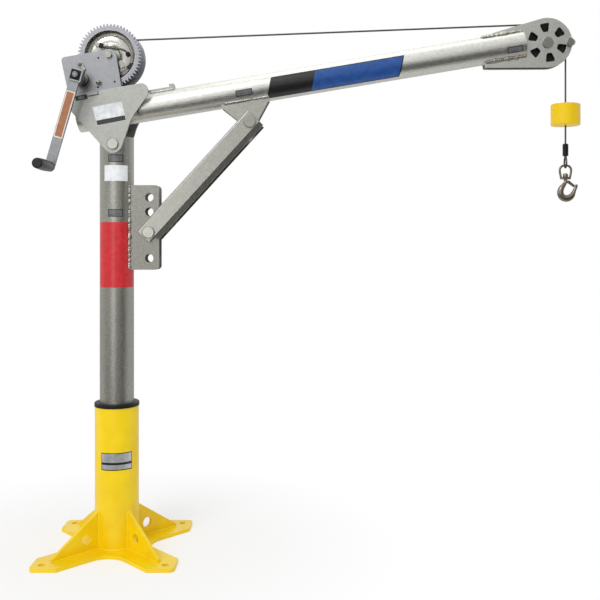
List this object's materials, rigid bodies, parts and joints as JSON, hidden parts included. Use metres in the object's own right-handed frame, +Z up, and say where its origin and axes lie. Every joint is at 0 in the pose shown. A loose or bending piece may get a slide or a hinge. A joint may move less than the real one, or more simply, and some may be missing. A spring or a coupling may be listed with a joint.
{
  "type": "davit crane",
  "caption": "Portable davit crane: bolted pedestal, swivelling mast, propped tube boom, geared hand winch, tip sheave and a swivel hook on wire rope.",
  "frame": {"origin": "centre of the base plate's underside, on the mast's turning axis", "axes": "+Z up along the mast, +X towards the boom's tip, -Y towards the crank's side"},
  "size_m": [1.4042, 0.3828, 1.3955],
  "materials": {
    "yellow_powder_coat": "gloss powder coat",
    "black_nylon": "turned nylon",
    "galvanised_tube": "satin zinc plating",
    "zinc_plate": "dull zinc plating",
    "zinc_sheet": "bright zinc plating",
    "plated_steel": "turned and zinc plated",
    "black_oxide": "black oxide",
    "wire_rope": "stranded steel wire",
    "grip_plastic": "moulded plastic",
    "shrink_sleeve": "heat-shrunk sleeve",
    "yellow_plastic": "turned plastic",
    "forged_steel": "forged, dark"
  },
  "bodies": {
    "pedestal": {"base_plate": "yellow_powder_coat", "socket_tube": "yellow_powder_coat", "gusset_right_far": "yellow_powder_coat", "gusset_left_far": "yellow_powder_coat", "gusset_left_near": "yellow_powder_coat", "gusset_right_near": "yellow_powder_coat", "socket_bushing": "black_nylon", "thrust_cup": "black_nylon"},
    "mast": {"mast_tube": "galvanised_tube", "mast_lug_near": "zinc_plate", "mast_lug_far": "zinc_plate", "head_pin": "plated_steel", "head_plate_near": "zinc_plate", "head_plate_far": "zinc_plate", "boom_tube": "galvanised_tube", "boom_cheek_near": "zinc_plate", "boom_cheek_far": "zinc_plate", "boom_strap": "zinc_plate", "boom_lug_near": "zinc_plate", "boom_lug_far": "zinc_plate", "strut": "zinc_sheet", "strut_pin_lower": "plated_steel", "strut_pin_upper": "plated_steel", "tip_plate_near": "zinc_plate", "tip_plate_far": "zinc_plate", "sheave_pin": "plated_steel", "rope_keeper": "plated_steel", "winch_base": "zinc_plate", "winch_floor": "zinc_sheet", "winch_plate_near": "zinc_sheet", "winch_plate_far": "zinc_sheet", "brake_pawl": "plated_steel", "drum_shaft": "plated_steel", "rope_line": "wire_rope", "rope_fall": "wire_rope"},
    "drum": {"drum_gear": "zinc_sheet", "drum_spool": "zinc_sheet", "rope_wraps": "wire_rope", "rope_clamps": "plated_steel", "rope_tail": "wire_rope"},
    "crank": {"pinion_shaft": "plated_steel", "brake_disc": "plated_steel", "crank_hub": "zinc_sheet", "crank_arm": "zinc_sheet", "crank_nut": "black_oxide", "grip_spindle": "plated_steel"},
    "grip": {"crank_grip": "grip_plastic"},
    "sheave": {"sheave": "black_nylon"},
    "hook_block": {"rope_float": "yellow_plastic", "rope_sleeve": "shrink_sleeve", "rope_eye": "wire_rope", "hook_bail": "forged_steel"},
    "hook": {"hook": "forged_steel"},
    "latch": {"hook_latch": "forged_steel"}
  },
  "joints": [
    {"name": "mast_swivel", "type": "hinge", "parent": "pedestal", "child": "mast", "pos_m": [0, 0, 0.374], "axis": [0, 0, 1], "continuous": true},
    {"name": "drum_spin", "type": "hinge", "parent": "mast", "child": "drum", "pos_m": [-0.01185, 0, 1.29201], "axis": [0, 1, 0], "range_deg": [-109, 1037]},
    {"name": "crank_spin", "type": "hinge", "parent": "mast", "child": "crank", "pos_m": [-0.081, 0, 1.22798], "axis": [0, 1, 0], "range_deg": [-6460, 690]},
    {"name": "grip_spin", "type": "hinge", "parent": "crank", "child": "grip", "pos_m": [-0.14784, 0, 0.99643], "axis": [0, 1, 0], "continuous": true},
    {"name": "sheave_spin", "type": "hinge", "parent": "mast", "child": "sheave", "pos_m": [1.13594, 0, 1.33048], "axis": [0, 1, 0], "range_deg": [-97, 915]},
    {"name": "hook_lift", "type": "slide", "parent": "mast", "child": "hook_block", "axis": [0, 0, 1], "range_m": [-0.84, 0.09], "deforming": ["rope_fall"]},
    {"name": "hook_swivel", "type": "hinge", "parent": "hook_block", "child": "hook", "pos_m": [1.18844, 0, 0.97483], "axis": [0, 0, 1], "continuous": true},
    {"name": "hook_latch_hinge", "type": "hinge", "parent": "hook", "child": "latch", "pos_m": [1.19644, 0, 0.96483], "axis": [0, 1, 0], "range_deg": [0, 35], "stiffness_Nm_per_rad": 0.01, "springref_deg": -28.65}
  ],
  "couplings": [
    {"joint": "crank_spin", "follows": "drum_spin", "ratio": -6.2222},
    {"joint": "sheave_spin", "follows": "drum_spin", "ratio": 0.88},
    {"joint": "hook_lift", "follows": "drum_spin", "m_per_rad": -0.0462}
  ]
}
